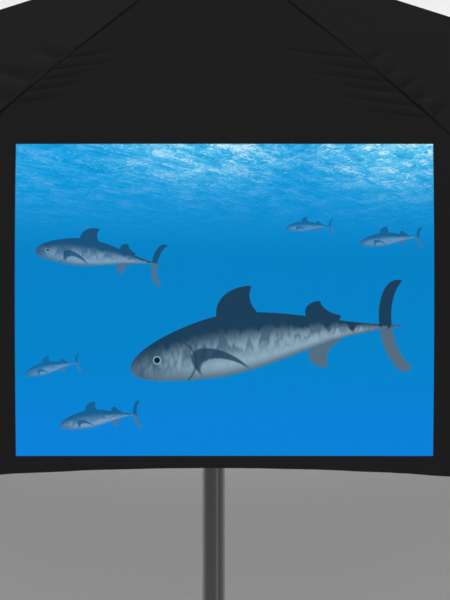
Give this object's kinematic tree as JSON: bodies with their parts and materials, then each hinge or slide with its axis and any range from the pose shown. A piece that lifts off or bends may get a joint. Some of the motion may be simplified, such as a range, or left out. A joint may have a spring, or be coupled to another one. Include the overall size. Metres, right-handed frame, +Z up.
{
  "type": "umbrella",
  "caption": "Open black stick umbrella lying on the floor, with a crook handle, a printed panel and a canopy that folds down as the runner slides along the shaft.",
  "frame": {"origin": "on the floor, under the middle of the open umbrella's box", "axes": "+Z up, +X across to the right seen from the handle's end, +Y level from the handle towards the canopy. The shaft rises towards +Y at about 39 degrees, with its ferrule up"},
  "size_m": [1.0012, 0.7772, 0.7674],
  "materials": {
    "canopy_cloth": "matte",
    "shaft_paint": "gloss",
    "rib_rod": "satin",
    "fittings": "satin",
    "nickel": "polished",
    "grip": "matte"
  },
  "bodies": {
    "root": {"shaft": "shaft_paint", "top_catch": "nickel", "hub": "fittings", "top_cap": "fittings", "ferrule": "nickel", "collar": "nickel", "handle": "grip"},
    "runner": {"runner": "fittings"},
    "rib_1": {"rib_1": "rib_rod", "tip_1": "fittings", "saddle_1": "fittings", "gore_1": "canopy_cloth"},
    "stretcher_1": {"stretcher_1": "shaft_paint"},
    "rib_2": {"rib_2": "rib_rod", "tip_2": "fittings", "saddle_2": "fittings", "gore_2": "canopy_cloth"},
    "stretcher_2": {"stretcher_2": "shaft_paint"},
    "rib_3": {"rib_3": "rib_rod", "tip_3": "fittings", "saddle_3": "fittings", "gore_3": "canopy_cloth"},
    "stretcher_3": {"stretcher_3": "shaft_paint"},
    "rib_4": {"rib_4": "rib_rod", "tip_4": "fittings", "saddle_4": "fittings", "gore_4": "canopy_cloth"},
    "stretcher_4": {"stretcher_4": "shaft_paint"},
    "rib_5": {"rib_5": "rib_rod", "tip_5": "fittings", "saddle_5": "fittings", "gore_5": "canopy_cloth"},
    "stretcher_5": {"stretcher_5": "shaft_paint"},
    "rib_6": {"rib_6": "rib_rod", "tip_6": "fittings", "saddle_6": "fittings", "gore_6": "canopy_cloth"},
    "stretcher_6": {"stretcher_6": "shaft_paint"},
    "rib_7": {"rib_7": "rib_rod", "tip_7": "fittings", "saddle_7": "fittings", "gore_7": "canopy_cloth"},
    "stretcher_7": {"stretcher_7": "shaft_paint"},
    "rib_8": {"rib_8": "rib_rod", "tip_8": "fittings", "saddle_8": "fittings", "gore_8": "canopy_cloth"},
    "stretcher_8": {"stretcher_8": "shaft_paint"}
  },
  "joints": [
    {"name": "runner_slide", "type": "slide", "parent": "root", "child": "runner", "axis": [0, -0.7651, -0.644], "range_m": [0, 0.3461], "deforming": ["top_catch"]},
    {"name": "rib_1_fold", "type": "hinge", "parent": "root", "child": "rib_1", "pos_m": [0.00383, 0.22842, 0.53317], "axis": [0.9239, 0.2464, -0.2928], "range_deg": [0, 67.31], "deforming": ["gore_1"]},
    {"name": "stretcher_1_fold", "type": "hinge", "parent": "rib_1", "child": "stretcher_1", "pos_m": [0.09515, 0.02774, 0.65245], "axis": [-0.9239, -0.2464, 0.2928], "range_deg": [0, 134.62]},
    {"name": "rib_2_fold", "type": "hinge", "parent": "root", "child": "rib_2", "pos_m": [0.00924, 0.23191, 0.52903], "axis": [0.3827, 0.5949, -0.7068], "range_deg": [0, 67.31], "deforming": ["gore_2"]},
    {"name": "stretcher_2_fold", "type": "hinge", "parent": "rib_2", "child": "stretcher_2", "pos_m": [0.22972, 0.1144, 0.5495], "axis": [-0.3827, -0.5949, 0.7068], "range_deg": [0, 134.62]},
    {"name": "rib_3_fold", "type": "hinge", "parent": "root", "child": "rib_3", "pos_m": [0.00924, 0.23684, 0.52318], "axis": [-0.3827, 0.5949, -0.7068], "range_deg": [0, 67.31], "deforming": ["gore_3"]},
    {"name": "stretcher_3_fold", "type": "hinge", "parent": "rib_3", "child": "stretcher_3", "pos_m": [0.22972, 0.23695, 0.4039], "axis": [0.3827, -0.5949, 0.7068], "range_deg": [0, 134.62]},
    {"name": "rib_4_fold", "type": "hinge", "parent": "root", "child": "rib_4", "pos_m": [0.00383, 0.24032, 0.51904], "axis": [-0.9239, 0.2464, -0.2928], "range_deg": [0, 67.31], "deforming": ["gore_4"]},
    {"name": "stretcher_4_fold", "type": "hinge", "parent": "rib_4", "child": "stretcher_4", "pos_m": [0.09515, 0.3236, 0.30095], "axis": [0.9239, -0.2464, 0.2928], "range_deg": [0, 134.62]},
    {"name": "rib_5_fold", "type": "hinge", "parent": "root", "child": "rib_5", "pos_m": [-0.00383, 0.24032, 0.51904], "axis": [-0.9239, -0.2464, 0.2928], "range_deg": [0, 67.31], "deforming": ["gore_5"]},
    {"name": "stretcher_5_fold", "type": "hinge", "parent": "rib_5", "child": "stretcher_5", "pos_m": [-0.09515, 0.3236, 0.30095], "axis": [0.9239, 0.2464, -0.2928], "range_deg": [0, 134.62]},
    {"name": "rib_6_fold", "type": "hinge", "parent": "root", "child": "rib_6", "pos_m": [-0.00924, 0.23684, 0.52318], "axis": [-0.3827, -0.5949, 0.7068], "range_deg": [0, 67.31], "deforming": ["gore_6"]},
    {"name": "stretcher_6_fold", "type": "hinge", "parent": "rib_6", "child": "stretcher_6", "pos_m": [-0.22972, 0.23695, 0.4039], "axis": [0.3827, 0.5949, -0.7068], "range_deg": [0, 134.62]},
    {"name": "rib_7_fold", "type": "hinge", "parent": "root", "child": "rib_7", "pos_m": [-0.00924, 0.23191, 0.52903], "axis": [0.3827, -0.5949, 0.7068], "range_deg": [0, 67.31], "deforming": ["gore_7"]},
    {"name": "stretcher_7_fold", "type": "hinge", "parent": "rib_7", "child": "stretcher_7", "pos_m": [-0.22972, 0.1144, 0.5495], "axis": [-0.3827, 0.5949, -0.7068], "range_deg": [0, 134.62]},
    {"name": "rib_8_fold", "type": "hinge", "parent": "root", "child": "rib_8", "pos_m": [-0.00383, 0.22842, 0.53317], "axis": [0.9239, -0.2464, 0.2928], "range_deg": [0, 67.31], "deforming": ["gore_8"]},
    {"name": "stretcher_8_fold", "type": "hinge", "parent": "rib_8", "child": "stretcher_8", "pos_m": [-0.09515, 0.02774, 0.65245], "axis": [-0.9239, 0.2464, -0.2928], "range_deg": [0, 134.62]}
  ],
  "couplings": [
    {"joint": "rib_1_fold", "follows": "runner_slide", "rad_per_m": 3.3943},
    {"joint": "stretcher_1_fold", "follows": "runner_slide", "rad_per_m": 6.7886},
    {"joint": "rib_2_fold", "follows": "runner_slide", "rad_per_m": 3.3943},
    {"joint": "stretcher_2_fold", "follows": "runner_slide", "rad_per_m": 6.7886},
    {"joint": "rib_3_fold", "follows": "runner_slide", "rad_per_m": 3.3943},
    {"joint": "stretcher_3_fold", "follows": "runner_slide", "rad_per_m": 6.7886},
    {"joint": "rib_4_fold", "follows": "runner_slide", "rad_per_m": 3.3943},
    {"joint": "stretcher_4_fold", "follows": "runner_slide", "rad_per_m": 6.7886},
    {"joint": "rib_5_fold", "follows": "runner_slide", "rad_per_m": 3.3943},
    {"joint": "stretcher_5_fold", "follows": "runner_slide", "rad_per_m": 6.7886},
    {"joint": "rib_6_fold", "follows": "runner_slide", "rad_per_m": 3.3943},
    {"joint": "stretcher_6_fold", "follows": "runner_slide", "rad_per_m": 6.7886},
    {"joint": "rib_7_fold", "follows": "runner_slide", "rad_per_m": 3.3943},
    {"joint": "stretcher_7_fold", "follows": "runner_slide", "rad_per_m": 6.7886},
    {"joint": "rib_8_fold", "follows": "runner_slide", "rad_per_m": 3.3943},
    {"joint": "stretcher_8_fold", "follows": "runner_slide", "rad_per_m": 6.7886}
  ]
}
